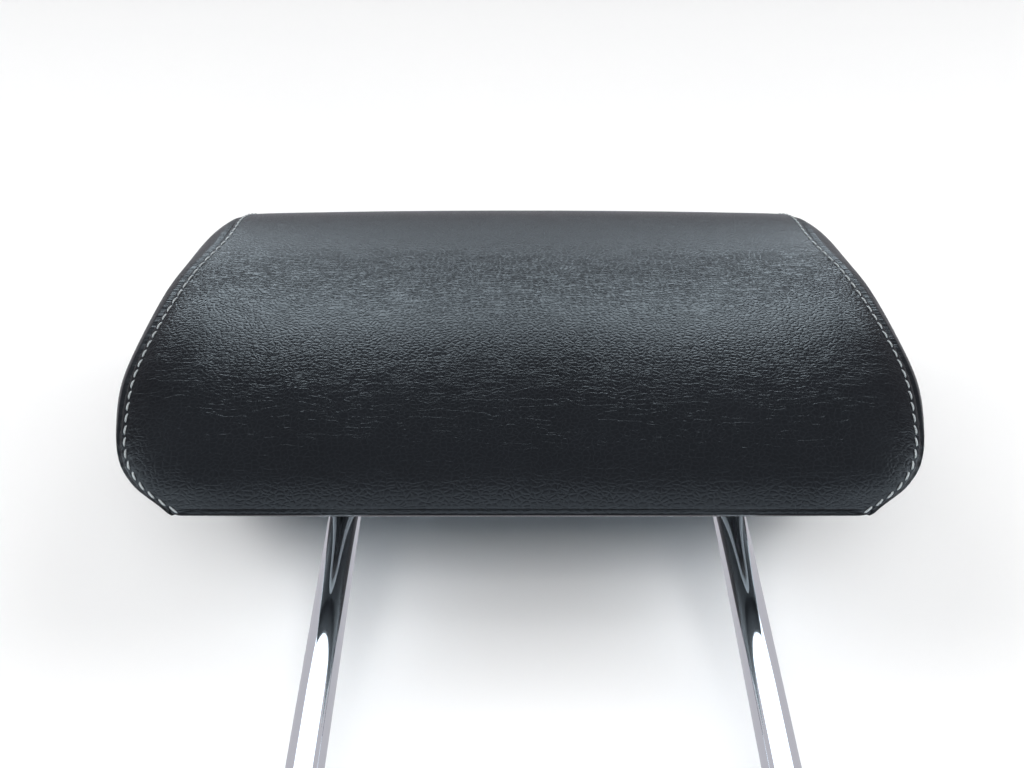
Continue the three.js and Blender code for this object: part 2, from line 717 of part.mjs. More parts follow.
// Friction clip: a strap bent over the front of the crossbar, with a foot above and below it
function frictionClip(x) {
  const inner = postRadius + PLAY;
  const outer = inner + CLIP_THICKNESS;
  const footEnd = outer + CLIP_FOOT_LENGTH;
  const innerAngle = Math.asin(-clipBack / inner);
  const outerAngle = Math.asin(-clipFront / outer);
  const shape = new THREE.Shape();
  shape.moveTo(footEnd, -clipBack);
  shape.lineTo(footEnd, -clipFront);
  shape.absarc(0, 0, outer, outerAngle, Math.PI - outerAngle);
  shape.lineTo(-footEnd, -clipFront);
  shape.lineTo(-footEnd, -clipBack);
  shape.absarc(0, 0, inner, Math.PI - innerAngle, innerAngle, true);
  const geometry = new THREE.ExtrudeGeometry(shape, {
    depth: CLIP_WIDTH,
    curveSegments: 10,
    bevelEnabled: false,
  });
  geometry.applyMatrix4(new THREE.Matrix4().makeBasis(
    new THREE.Vector3(0, 0, 1),
    new THREE.Vector3(0, -1, 0),
    new THREE.Vector3(1, 0, 0),
  ));
  geometry.translate(x - CLIP_WIDTH / 2, 0, CROSSBAR_HEIGHT);
  let clip = toSolid(geometry);
  for (const z of [CROSSBAR_HEIGHT - clipFootZ, CROSSBAR_HEIGHT + clipFootZ]) {
    const hole = barAlongY(x, z, CLIP_SCREW_RADIUS + PLAY, clipFront - OVERCUT, clipBack + OVERCUT, 12);
    clip = clip.subtract(hole);
  }
  return clip;
}

// Assembly

addPiece('post_frame', postFrame(), chrome);

addPiece('carrier_front', carrierFrontShell(), carrierPlastic);
addPiece('carrier_back', carrierBackShell(), carrierPlastic);
bossPlaces.forEach(([x, z], k) => {
  const seat = carrierBack - PLAY - CARRIER_SCREW_HEAD_HEIGHT;
  const piece = screw(x, seat, z, -1, CARRIER_SCREW_RADIUS, CARRIER_SCREW_LENGTH,
    CARRIER_SCREW_HEAD_RADIUS, CARRIER_SCREW_HEAD_HEIGHT);
  addPiece(`carrier_screw_${k + 1}`, piece, springSteel);
});

addPiece('friction_clip_left', frictionClip(-CLIP_OFFSET), springSteel);
addPiece('friction_clip_right', frictionClip(CLIP_OFFSET), springSteel);
for (const { name, x, z } of clipScrewPlaces) {
  const piece = screw(x, clipFront - PLAY, z, 1, CLIP_SCREW_RADIUS, CLIP_SCREW_LENGTH,
    CLIP_SCREW_HEAD_RADIUS, CLIP_SCREW_HEAD_HEIGHT);
  addPiece(`clip_screw_${name}`, piece, springSteel);
}

addPiece('foam_core', foamCore(), foam);
for (const [name, panel] of Object.entries(panels)) {
  const shell = coverPanel(panel);
  addPiece(name, name === 'cover_bottom' ? cutBezelSeats(shell) : shell, leather);
}

addPiece('post_bezel_left', postBezel(-legX), trimPlastic);
addPiece('post_bezel_right', postBezel(legX), trimPlastic);

const strips = closureStrips();
addPiece('closure_strip_back', strips.upper, trimPlastic);
addPiece('closure_strip_bottom', strips.lower, trimPlastic);

export default headrest;
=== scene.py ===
# Car headrest: a leather-covered pad with topstitched side seams, on a bent chrome post frame.
# Metres. +Z is up, -Y is the side that faces the head, X runs across the seat.

import json
import math

import bmesh
import bpy
import numpy as np
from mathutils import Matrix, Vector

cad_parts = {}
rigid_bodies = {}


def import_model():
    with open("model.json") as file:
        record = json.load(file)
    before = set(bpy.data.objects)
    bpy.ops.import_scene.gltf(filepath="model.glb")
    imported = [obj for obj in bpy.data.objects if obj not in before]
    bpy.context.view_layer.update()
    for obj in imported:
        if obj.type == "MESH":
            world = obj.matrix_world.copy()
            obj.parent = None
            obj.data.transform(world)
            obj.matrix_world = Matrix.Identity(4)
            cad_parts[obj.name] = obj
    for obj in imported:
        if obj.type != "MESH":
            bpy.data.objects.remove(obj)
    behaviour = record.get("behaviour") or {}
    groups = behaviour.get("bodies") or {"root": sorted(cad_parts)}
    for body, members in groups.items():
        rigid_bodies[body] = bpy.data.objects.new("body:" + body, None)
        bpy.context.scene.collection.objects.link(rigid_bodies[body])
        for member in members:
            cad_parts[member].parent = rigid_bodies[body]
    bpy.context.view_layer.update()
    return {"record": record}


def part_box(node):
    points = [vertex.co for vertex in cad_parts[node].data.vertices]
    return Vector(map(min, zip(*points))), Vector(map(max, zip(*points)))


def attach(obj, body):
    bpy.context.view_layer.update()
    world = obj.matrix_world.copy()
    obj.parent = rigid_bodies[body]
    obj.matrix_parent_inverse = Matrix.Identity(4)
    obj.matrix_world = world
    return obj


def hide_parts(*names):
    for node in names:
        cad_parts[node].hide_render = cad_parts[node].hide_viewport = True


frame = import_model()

# Pad
PAD_WIDTH = 0.287
PAD_HEIGHT = 0.188
PAD_FRONT = 0.0664
PAD_BACK = 0.041
PAD_SIDE_SHIFT = -0.007
PAD_CROWN = 0.0015
LIP_ROLL = 0.001
LIP_ROLL_SHARE = 0.17
COVER_THICKNESS = 0.0018

# The seam over the top lies on one of the solid's rows, which a power spreads over the profile.
TOP_SEAM_ROW = 22
SOLID_ROWS = 30
SOLID_ROW_POWER = 1.2
TOP_SEAM = (TOP_SEAM_ROW / SOLID_ROWS) ** SOLID_ROW_POWER

# Side panels: the bulge's centre in shares of the back reach and the height, and its shape.
# The seam loop's corners are eased over a share of its points, by a share of the way in.
SIDE_CENTRE = (0.1, 0.505)
SIDE_POWERS = (5, 3)
LOWER_TAPER = 0.006
TAPER_HEIGHT_SHARE = 0.35
SIDE_FULLNESS = 2.3
SIDE_FULL_FROM = 0.009
SIDE_FULL_SPAN = 0.046
SIDE_EASE_REACH = 0.07
SIDE_EASE_RING = 0.35

# Side profile of the pad, from the lip up the front, over the top and down the back:
# a share of the front or back reach, then a share of the height.
PROFILE_SAMPLES = 4001
PROFILE = np.array([
    [-0.813, 0.0],
    [-0.926, 0.074],
    [-0.994, 0.223],
    [-0.986, 0.414],
    [-0.904, 0.627],
    [-0.708, 0.834],
    [-0.377, 0.972],
    [0.097, 0.994],
    [0.681, 0.893],
    [0.925, 0.712],
    [0.998, 0.531],
    [0.961, 0.404],
    [0.754, 0.324],
])

# Side seam: share of the profile's length, then shares of the tuck, the depth and the roll.
SEAM_TUCK = 0.020
SEAM_DEPTH = 0.005
SEAM_ROLL = 0.020
SEAM_ROLL_POWER = 2.4
SEAM = np.array([
    [0.0, 1.775, 0.3, 1.3],
    [0.022, 1.15, 0.9, 1.5],
    [0.054, 0.75, 1.3, 1.6],
    [0.092, 0.575, 1.4, 1.6],
    [0.141, 0.475, 1.3, 1.5],
    [0.206, 0.55, 1.1, 1.2],
    [0.282, 0.74, 0.75, 1.0],
    [0.366, 1.0, 0.55, 0.8],
    [0.46, 0.9, 0.4, 0.7],
    [0.555, 0.95, 0.4, 0.7],
    [0.664, 0.95, 0.6, 0.8],
    [0.813, 0.975, 1.0, 1.0],
    [0.935, 1.225, 1.0, 1.0],
    [1.0, 1.575, 0.3, 1.0],
])

# Seams and stitches
SEAM_DIVE = 0.0010
SEAM_FLANK = 0.0011
LIP_SEAM_RISE = 0.0009
CORNER_REACH = 0.004
STITCH_INSET = 0.0032
STITCH_PITCH = 0.0045
STITCH_LENGTH = 0.0037
STITCH_SLANT = math.radians(9)
THREAD_RADIUS = 0.00033
THREAD_RINGS = 7
THREAD_SIDES = 8
THREAD_END_POWER = 3.5
THREAD_ARCH_HEIGHT = 0.65
THREAD_ARCH_DROP = 1.2
GROOVE_DEPTH = 0.00012
GROOVE_EVEN_SHARE = 0.75
GROOVE_HALF_WIDTH = 0.0007
PUCKER_HEIGHT = 0.00012
PUCKER_REACH = 0.004

# Posts
POST_RADIUS = 0.006
POST_WALL = 0.002
POST_SPACING = 0.148
POST_BEND_RADIUS = 0.020
POST_TIP = -0.150
POST_TIP_CHAMFER = 0.001
CROSSBAR_HEIGHT = 0.088
NOTCH_HEIGHTS = (-0.080, -0.100, -0.120)
NOTCH_HALF_HEIGHT = 0.0025
NOTCH_DEPTH = 0.0012
NOTCH_SHOULDER = 3e-5
NOTCH_GAP_BELOW = 0.005
NOTCH_GAP_ABOVE = 0.006
POST_SIDES = 72

# Bezels, around the posts' slots
BEZEL_COLLAR_WALL = 0.0016
BEZEL_FLANGE_LAP = 0.0045
BEZEL_FLANGE_THICKNESS = 0.0016
BEZEL_PLAY = 0.0003
BEZEL_EDGE = 0.0005
BEZEL_END_POINTS = 20
SLOT_END_POINTS = 16
SLOT_CUT = (-0.012, 0.02)

# Rows and columns of the fine grids, and of the coarse ones that the cloth solver swells
FINE = {"front": 220, "back": 96, "under": 90, "across": 160, "rings": 44}
COARSE = {"front": 44, "back": 20, "under": 14, "across": 40, "rings": 11}
RING_CROWDING = 1.6
ROW_EDGE_SHARE = 0.3
COLUMN_EDGE_SHARE = 0.2

# Panels whose grids are closed loops, and those whose faces would look inwards
SIDE_PANELS = ("left", "right")
TURNED_PANELS = ("under", "right")

# Cloth solver
SWELL_FRAMES = 20
SWELL_PRESSURE = 4.0
SWELL_CAP = 0.0016
SWELL_START = 0.0008
SWELL_SMOOTHING = 6
SWELL_FADE_SHARE = 1 / 4

scene = bpy.context.scene
scene.view_settings.view_transform = "Standard"


# Camera, floor and light

CAMERA_PLACE = (-0.0097, -0.2597, -0.1204)
CAMERA_PITCH = math.radians(130)
CAMERA_LENS = 27.04
FLOOR_TILT = math.radians(8)
FLOOR_TOUCH = (0.0398, 0.078)
FLOOR_GAP = 0.0012
FLOOR_HALF_SIZE = 4.0
LAMP_DISTANCE = 3.0
LAMP_WATTS = 4.0
WINDOW_TINT = (0.85, 1.0, 1.10)

# Lamps: name, rise and turn in degrees, width and height, level, and whether it's a mirrored one
MIDDLE_LAMPS = [
    ("ceiling_low", -22, 0, (3.0, 0.8), 4.4, False),
    ("ceiling_high", -8, 0, (3.0, 0.8), 2.3, False),
    ("behind", 10, 180, (5.0, 3.0), 2.4, False),
    ("ceiling_mirrored", 0, 0, (9.0, 3.2), 1.2, True),
    ("window_mirrored", 54, 0, (2.6, 0.8), 17.0, True),
    ("skylight_mirrored", 72, 0, (5.0, 1.4), 2.8, True),
    ("table_mirrored", -47, 0, (6.0, 1.5), 6.0, True),
    ("behind_mirrored", 10, 180, (5.0, 3.0), 0.9, True),
    ("ground_mirrored", -76, 0, (6.0, 2.0), 7.0, True),
]
PAIRED_LAMPS = [
    ("wall", 10, 50, (2.4, 1.3), 3.3, False),
    ("window_wing_mirrored", 56, 46, (2.2, 0.8), 6.5, True),
    ("side_mirrored", -20, 80, (2.4, 3.0), 6.0, True),
]


def add_camera():
    camera = bpy.data.objects.new("camera", bpy.data.cameras.new("camera"))
    camera.data.lens = CAMERA_LENS
    camera.data.clip_start = 0.01
    camera.location = CAMERA_PLACE
    camera.rotation_euler = (CAMERA_PITCH, 0, 0)
    scene.collection.objects.link(camera)
    scene.camera = camera


def add_lamp(name, rise, turn, size, level, mirrored):
    """A soft lamp that faces the pad's middle.

    It stands at an angle above the straight front, turned sideways round the posts' direction.
    Its level is the brightness of its face, in steps of so many watts a square metre. A mirrored
    lamp shows in reflections only, and any other one lights matt surfaces only.
    """
    lamp = bpy.data.lights.new(name, "AREA")
    lamp.shape = "RECTANGLE"
    lamp.size, lamp.size_y = size
    lamp.energy = level * LAMP_WATTS * size[0] * size[1]
    lamp.color = WINDOW_TINT if mirrored else (1, 1, 1)
    holder = bpy.data.objects.new(name, lamp)
    rise, turn = math.radians(rise), math.radians(turn)
    away = np.array([
        math.cos(rise) * math.sin(turn), -math.cos(rise) * math.cos(turn), math.sin(rise),
    ])
    sideways = np.array([math.cos(turn), math.sin(turn), 0.0])
    matrix = np.eye(4)
    matrix[:3, :3] = np.stack([sideways, np.cross(away, sideways), away], axis=1)
    matrix[:3, 3] = np.array([PAD_SIDE_SHIFT, 0, PAD_HEIGHT / 2]) + away * LAMP_DISTANCE
    holder.matrix_world = matrix.T.tolist()
    holder.visible_camera = False
    holder.visible_diffuse = not mirrored
    holder.visible_glossy = mirrored
    scene.collection.objects.link(holder)


def add_lamps():
    for lamp in MIDDLE_LAMPS:
        add_lamp(*lamp)
    for side in (-1, 1):
        for name, rise, turn, size, level, mirrored in PAIRED_LAMPS:
            add_lamp(name, rise, side * turn, size, level, mirrored)


# Shader nodes

class Wire:
    """An output socket. Sums, differences and products of wires add Math nodes."""

    def __init__(self, tree, socket):
        self.tree = tree
        self.socket = socket

    def combine(self, operation, first, second):
        return self.tree.add("ShaderNodeMath", {"operation": operation}, {0: first, 1: second})

    def __add__(self, other):
        return self.combine("ADD", self, other)

    def __radd__(self, other):
        return self.combine("ADD", other, self)

    def __sub__(self, other):
        return self.combine("SUBTRACT", self, other)

    def __rsub__(self, other):
        return self.combine("SUBTRACT", other, self)

    def __mul__(self, other):
        return self.combine("MULTIPLY", self, other)

    def __rmul__(self, other):
        return self.combine("MULTIPLY", other, self)


class Tree:
    """The nodes of a material or of the world."""

    def __init__(self, owner):
        owner.use_nodes = True
        self.nodes = owner.node_tree.nodes
        self.links = owner.node_tree.links
        self.nodes.clear()

    def add(self, kind, settings=None, sockets=None, out=0):
        """Adds a node: its settings first, then the values or links of its sockets."""
        node = self.nodes.new(kind)
        for name, value in (settings or {}).items():
            setattr(node, name, value)
        for name, value in (sockets or {}).items():
            if isinstance(value, Wire):
                self.links.new(value.socket, node.inputs[name])
            else:
                node.inputs[name].default_value = value
        return Wire(self, node.outputs[out]) if len(node.outputs) else None

    def coordinates(self):
        return self.add("ShaderNodeTexCoord", out="Object")

    def stretched(self, place, scale, turn=0.0):
        return self.add("ShaderNodeMapping", {}, {
            "Vector": place, "Rotation": (0, 0, turn), "Scale": scale,
        })

    def noise(self, place, scale, detail=2.0, out=0, dimensions="3D"):
        return self.add("ShaderNodeTexNoise", {"noise_dimensions": dimensions}, {
            "Vector": place, "Scale": scale, "Detail": detail,
        }, out)

    def ramp(self, value, low, high, bottom=0.0, top=1.0, smooth=True):
        kind = "SMOOTHSTEP" if smooth else "LINEAR"
        return self.add("ShaderNodeMapRange", {"interpolation_type": kind}, {
            "Value": value, "From Min": low, "From Max": high, "To Min": bottom, "To Max": top,
        })

    def tint(self, factor, first, second):
        return self.add("ShaderNodeMix", {"data_type": "RGBA"}, {0: factor, 6: first, 7: second}, 2)

    def bump(self, height, distance, strength):
        return self.add("ShaderNodeBump", {}, {
            "Height": height, "Distance": distance, "Strength": strength,
        })

    def surface(self, shader):
        self.add("ShaderNodeOutputMaterial", {}, {"Surface": shader})


def colour(red, green, blue):
    return (red, green, blue, 1.0)


def new_material(name):
    material = bpy.data.materials.new(name)
    return material, Tree(material)


SKIN_MAP = "skin"
GRAIN_ACROSS = 0.0020
GRAIN_ALONG = 0.0014
GRAIN_WANDER = 0.0024
GRAIN_DEPTH = 0.00017
GRAIN_EVEN_SHARE = 0.8
PORE_SHARE = 0.10
CREASE_SHARE = 0.55
CREASE_SLANT = math.radians(-12)
LEATHER_SHEEN = 0.055

# Heights between which the grain gets fainter, upwards and downwards, and its share beyond them
SMOOTH_TOP = (0.095, 0.130)
SMOOTH_TOP_SHARE = 0.35
SMOOTH_LIP = (0.115, 0.065)
SMOOTH_LIP_SHARE = 0.30


def leather_material():
    """Near-black leather: pebbles 2 mm wide, parted by furrows, and slanting creases.

    The height is a dome for each pebble, plus a tenth of the pores, less about half of the
    creases. It and the painted shade in the furrows, a darker, rougher shader mixed in there,
    are multiplied by two ramps over the pad's height.
    """
    material, tree = new_material("pebbled_leather")
    place = tree.add("ShaderNodeUVMap", {"uv_map": SKIN_MAP})
    wander = tree.noise(place, 1 / 0.007, out="Color", dimensions="2D")
    drift = tree.add("ShaderNodeVectorMath", {"operation": "MULTIPLY_ADD"}, {
        0: wander, 1: (GRAIN_WANDER, GRAIN_WANDER, 0), 2: place,
    })
    pebble_place = tree.stretched(drift, (1 / GRAIN_ACROSS, 1 / GRAIN_ALONG, 1))
    edge = tree.add("ShaderNodeTexVoronoi", {
        "voronoi_dimensions": "2D", "feature": "DISTANCE_TO_EDGE",
    }, {"Vector": pebble_place, "Scale": 1.0})
    pebbles = tree.ramp(edge, 0.0, 0.34)
    pores = tree.noise(place, 1 / 0.0006, dimensions="2D")
    patches = tree.ramp(tree.noise(place, 1 / 0.012, dimensions="2D"), 0.35, 0.65)
    evenness = GRAIN_EVEN_SHARE + (1 - GRAIN_EVEN_SHARE) * patches
    crease_place = tree.stretched(drift, (1 / 0.017, 1 / 0.0030, 1), CREASE_SLANT)
    crease_noise = tree.noise(crease_place, 1.0, dimensions="2D")
    crease = tree.ramp(crease_noise, 0.5, 0.535) * tree.ramp(crease_noise, 0.57, 0.535)
    height = pebbles * evenness + PORE_SHARE * pores - CREASE_SHARE * crease
    rise = tree.add("ShaderNodeSeparateXYZ", {}, {0: tree.coordinates()}, "Z")
    smooth_top = tree.ramp(rise, *SMOOTH_TOP, 1.0, SMOOTH_TOP_SHARE)
    relief = smooth_top * tree.ramp(rise, *SMOOTH_LIP, 1.0, SMOOTH_LIP_SHARE)
    # Painted shade: a darker, rougher shader is mixed into the furrows for the shade that falls in
    # them.
    furrow_shade_mask = tree.ramp(edge, 0.13, 0.02) * evenness
    shade = tree.noise(place, 1 / 0.03, 3.0, dimensions="2D")
    tone = tree.tint(shade, colour(0.0034, 0.0038, 0.0052), colour(0.0050, 0.0056, 0.0076))
    bump = tree.bump(height * relief, GRAIN_DEPTH, 0.9)
    skin = tree.add("ShaderNodeBsdfPrincipled", {}, {
        "Base Color": tone,
        "Roughness": 0.20 + 0.05 * shade + 0.05 * pores,
        "Specular IOR Level": LEATHER_SHEEN,
        "Sheen Weight": 0.05,
        "Sheen Roughness": 0.35,
        "Normal": bump,
    })
    # Painted shade in the furrows: a darker, rougher leather shader.
    furrow_shade_shader = tree.add("ShaderNodeBsdfPrincipled", {}, {
        "Base Color": colour(0.003, 0.003, 0.004),
        "Roughness": 0.6,
        "Specular IOR Level": 0.12,
        "Normal": bump,
    })
    tree.surface(tree.add("ShaderNodeMixShader", {}, {0: 0.8 * furrow_shade_mask * relief, 1: skin, 2: furrow_shade_shader}))
    return material


def thread_material():
    """Twisted light grey thread."""
    material, tree = new_material("grey_thread")
    place = tree.add("ShaderNodeUVMap", {"uv_map": SKIN_MAP})
    twist = tree.add("ShaderNodeTexWave", {"bands_direction": "DIAGONAL"}, {
        "Vector": tree.stretched(place, (3.0, 2.0, 1)), "Scale": 1.0, "Distortion": 0.4,
    }, "Fac")
    tone = tree.tint(twist, colour(0.16, 0.17, 0.17), colour(0.40, 0.41, 0.41))
    shader = tree.add("ShaderNodeBsdfPrincipled", {}, {
        "Base Color": tone, "Roughness": 0.72, "Normal": tree.bump(twist, 0.00008, 0.7),
    })
    tree.surface(shader)
    return material


def chrome_material():
    """Mirror chrome with a faint wipe in its polish."""
    material, tree = new_material("mirror_chrome")
    place = tree.coordinates()
    wipe = tree.noise(tree.stretched(place, (240, 240, 24)), 1.0, 3.0)
    shader = tree.add("ShaderNodeBsdfPrincipled", {}, {
        "Base Color": tree.tint(wipe, colour(0.80, 0.82, 0.85), colour(0.86, 0.87, 0.89)),
        "Metallic": 1.0,
        "Roughness": 0.035 + 0.03 * wipe,
        "Normal": tree.bump(wipe, 0.00001, 0.2),
    })
    tree.surface(shader)
    return material


def moulded_material(name, dark, pale, grain, roughness):
    """Moulded plastic with a fine spark-eroded grain."""
    material, tree = new_material(name)
    place = tree.coordinates()
    speckle = tree.noise(place, 1 / grain)
    cloud = tree.noise(place, 1 / (30 * grain))
    shader = tree.add("ShaderNodeBsdfPrincipled", {}, {
        "Base Color": tree.tint(cloud, colour(*dark), colour(*pale)),
        "Roughness": roughness + 0.15 * speckle,
        "Normal": tree.bump(speckle, 0.00006, 0.5),
    })
    tree.surface(shader)
    return material


def steel_material():
    """Zinc-plated steel with a drawn grain."""
    material, tree = new_material("plated_steel")
    place = tree.coordinates()
    drawn = tree.noise(tree.stretched(place, (120, 900, 900)), 1.0)
    shader = tree.add("ShaderNodeBsdfPrincipled", {}, {
        "Base Color": tree.tint(drawn, colour(0.42, 0.43, 0.45), colour(0.58, 0.59, 0.60)),
        "Metallic": 1.0,
        "Roughness": 0.26 + 0.18 * drawn,
        "Normal": tree.bump(drawn, 0.00002, 0.3),
    })
    tree.surface(shader)
    return material


def foam_material():
    """Moulded foam: open pores under a thin skin, with painted shade in the pores' hollows."""
    material, tree = new_material("moulded_foam")
    place = tree.coordinates()
    pores = tree.ramp(tree.add("ShaderNodeTexVoronoi", {}, {
        "Vector": place, "Scale": 1 / 0.0014,
    }), 0.05, 0.5)
    cloud = tree.noise(place, 1 / 0.02, 3.0)
    tone = tree.tint(cloud, colour(0.045, 0.045, 0.048), colour(0.065, 0.065, 0.07))
    shader = tree.add("ShaderNodeBsdfPrincipled", {}, {
        # Painted shade: the colour goes darker in the pores' hollows.
        "Base Color": tree.tint(1 - pores, tone, colour(0.02, 0.02, 0.022)),
        "Roughness": 0.9 + 0.05 * cloud,
        "Normal": tree.bump(pores, 0.0003, 0.6),
    })
    tree.surface(shader)
    return material


# Floor and surrounding light

def floor_material():
    """Pale floor. Seen from its own back it lets the light through."""
    material, tree = new_material("pale_floor")
    place = tree.coordinates()
    cloud = tree.noise(place, 8.0, 3.0)
    plain = tree.add("ShaderNodeBsdfDiffuse", {}, {
        "Color": tree.tint(cloud, colour(0.95, 0.95, 0.955), colour(0.965, 0.965, 0.965)),
    })
    clear = tree.add("ShaderNodeBsdfTransparent")
    behind = tree.add("ShaderNodeNewGeometry", out="Backfacing")
    tree.surface(tree.add("ShaderNodeMixShader", {}, {0: behind, 1: plain, 2: clear}))
    return material


def add_floor():
    """A plane behind the pad, tilted so that it also passes close behind the posts' ends."""
    span = np.linspace(-FLOOR_HALF_SIZE, FLOOR_HALF_SIZE, 3)
    x, rise = np.meshgrid(span, span)
    y = FLOOR_TOUCH[0] + FLOOR_GAP + rise * math.sin(FLOOR_TILT)
    z = FLOOR_TOUCH[1] + rise * math.cos(FLOOR_TILT)
    floor = add_mesh("floor", np.stack([x, y, z], axis=-1))
    floor.data.materials.append(floor_material())
    floor.visible_diffuse = False
    floor.visible_glossy = False
    floor.visible_shadow = False


def set_world():
    """White where the camera looks, a pale lilac grey in mirrors, a dim grey as the fill light."""
    world = bpy.data.worlds.new("studio")
    scene.world = world
    tree = Tree(world)
    camera_ray = tree.add("ShaderNodeLightPath", out="Is Camera Ray")
    glossy_ray = tree.add("ShaderNodeLightPath", out="Is Glossy Ray")
    clear_ray = tree.add("ShaderNodeLightPath", out="Is Transmission Ray")
    seen = tree.ramp(camera_ray + clear_ray, 0.0, 1.0, smooth=False)
    dim = tree.tint(glossy_ray, colour(0.06, 0.062, 0.066), colour(0.55, 0.54, 0.58))
    tone = tree.tint(seen, dim, colour(1.0, 1.0, 1.0))
    shader = tree.add("ShaderNodeBackground", {}, {"Color": tone, "Strength": 1.0})
    tree.add("ShaderNodeOutputWorld", {}, {"Surface": shader})


# Grids and meshes

def grid_faces(rows, columns, loop_rows=False, loop_columns=False, pole=False):
    """Quads between neighbouring points, and triangles round a last row that is one point."""
    count = rows - 2 if pole else (rows if loop_rows else rows - 1)
    i = np.arange(count)[:, None]
    j = np.arange(columns if loop_columns else columns - 1)[None, :]
    below = (i + 1) % rows
    beside = (j + 1) % columns
    corners = [i * columns + j, i * columns + beside, below * columns + beside, below * columns + j]
    faces = np.stack(np.broadcast_arrays(*corners), axis=-1).reshape(-1, 4).tolist()
    if pole:
        start = (rows - 2) * columns
        end = (rows - 1) * columns
        first = start + j[0]
        second = start + beside[0]
        faces += np.stack([first, second, np.full(len(first), end)], axis=-1).tolist()
    return faces


def add_mesh(name, grid, loop_rows=False, loop_columns=False, pole=False, flip=False, skin=None):
    """A smooth mesh of a grid of points. A pole's last row is taken as one point."""
    rows, columns = grid.shape[:2]
    points = grid.reshape(-1, 3)
    if pole:
        points = points[:(rows - 1) * columns + 1]
    faces = grid_faces(rows, columns, loop_rows, loop_columns, pole)
    if flip:
        faces = [face[::-1] for face in faces]
    mesh = bpy.data.meshes.new(name)
    mesh.from_pydata(points.tolist(), [], faces)
    mesh.shade_smooth()
    if skin is not None:
        map_skin(mesh, skin)
    piece = bpy.data.objects.new(name, mesh)
    scene.collection.objects.link(piece)
    return piece


def map_skin(mesh, flat):
    """Gives a mesh flat coordinates, one pair for each of its points."""
    corner_points = np.empty(len(mesh.loops), dtype=np.int32)
    mesh.loops.foreach_get("vertex_index", corner_points)
    layer = mesh.uv_layers.new(name=SKIN_MAP)
    layer.data.foreach_set("uv", flat.reshape(-1, 2)[corner_points].astype(np.float32).ravel())


def unit(vectors):
    return vectors / np.linalg.norm(vectors, axis=-1, keepdims=True)


def grid_normals(grid, loop_columns=False):
    """Unit normals: the direction across a grid crossed with the direction down it."""
    down = np.gradient(grid, axis=0)
    if loop_columns:
        across = np.roll(grid, -1, axis=1) - np.roll(grid, 1, axis=1)
    else:
        across = np.gradient(grid, axis=1)
    return unit(np.cross(across, down) + 1e-12)


def outward_normals(grid, name):
    """Unit normals of a panel's grid that point out of the pad."""
    return grid_normals(grid, name in SIDE_PANELS) * (-1 if name in TURNED_PANELS else 1)


def crowded(count, edge_share):
    """Places from 0 to 1 that lie closer together at both ends."""
    t = np.linspace(-1, 1, count)
    return 0.5 + 0.5 * ((1 - edge_share) * np.sin(t * math.pi / 2) + edge_share * t)


def catmull_rom(points, place):
    """A curve through points, read at places from 0 to 1: the values, and the slopes there."""
    last = len(points) - 1
    spot = np.clip(place, 0, 1) * last
    k = np.minimum(spot.astype(int), last - 1)
    t = (spot - k).reshape(-1, *[1] * (points.ndim - 1))
    before, start = points[np.maximum(k - 1, 0)], points[k]
    end, after = points[k + 1], points[np.minimum(k + 2, last)]
    leave, arrive = (end - before) / 2, (after - start) / 2
    cubic = 2 * start - 2 * end + leave + arrive
    square = 3 * end - 3 * start - 2 * leave - arrive
    return ((cubic * t + square) * t + leave) * t + start, (3 * cubic * t + 2 * square) * t + leave


# The pad's skin

profile_points = PROFILE * [1, PAD_HEIGHT]
profile_points[:, 0] *= np.where(PROFILE[:, 0] < 0, PAD_FRONT, PAD_BACK)
fine_places = np.linspace(0, 1, PROFILE_SAMPLES)
fine_profile = catmull_rom(profile_points, fine_places)[0]
fine_steps = np.linalg.norm(np.diff(fine_profile, axis=0), axis=1)
profile_run = np.concatenate([[0], np.cumsum(fine_steps)])
profile_length = profile_run[-1]

# The underside runs straight from the lip to the back's lower edge.
lip = profile_points[0]
base_rise = profile_points[-1] - lip
base_out = np.array([0, base_rise[1], -base_rise[0]]) / np.hypot(*base_rise)
base_slope = base_rise[1] / base_rise[0]


def base_height(y):
    """Height of the underside's plane at a depth."""
    return base_slope * (y - lip[0])


def seam_value(column, along):
    """A smooth curve through a column of the seam list, read at shares of the profile."""
    shares, values = SEAM[:, 0], SEAM[:, column]
    index = np.arange(len(shares))
    before = np.maximum(index - 1, 0)
    after = np.minimum(index + 1, len(shares) - 1)
    slope = (values[after] - values[before]) / (shares[after] - shares[before])
    k = np.clip(np.searchsorted(shares, along) - 1, 0, len(shares) - 2)
    width = shares[k + 1] - shares[k]
    t = (along - shares[k]) / width
    rise = t * t * (3 - 2 * t)
    leave = t * (1 - t) ** 2 * width * slope[k]
    arrive = -t * t * (1 - t) * width * slope[k + 1]
    return values[k] * (1 - rise) + values[k + 1] * rise + leave + arrive


def half_width(along):
    """Half the width between the side seams, at shares of the profile."""
    return PAD_WIDTH / 2 - SEAM_TUCK * seam_value(1, along)


def wrap_grid(along, across):
    """The side profile carried across the pad, crowned, and drawn in at the side seams."""
    spots = np.interp(along * profile_length, profile_run, fine_places)
    place, slope = catmull_rom(profile_points, spots)
    tangent = unit(slope)[:, None, :]
    place = place[:, None, :]
    half = half_width(along)[:, None]
    roll = SEAM_ROLL * seam_value(3, along)[:, None]
    depth = SEAM_DEPTH * seam_value(2, along)[:, None]
    x = across[None, :] * half
    edge = np.maximum(0, (np.abs(x) - half + roll) / roll)
    crown = PAD_CROWN * np.sin(math.pi * along)[:, None]
    inset = crown * across[None, :] ** 2 + (depth - crown) * edge ** SEAM_ROLL_POWER
    return np.stack([
        x + PAD_SIDE_SHIFT,
        place[..., 0] + tangent[..., 1] * inset,
        place[..., 1] - tangent[..., 0] * inset,
    ], axis=-1)


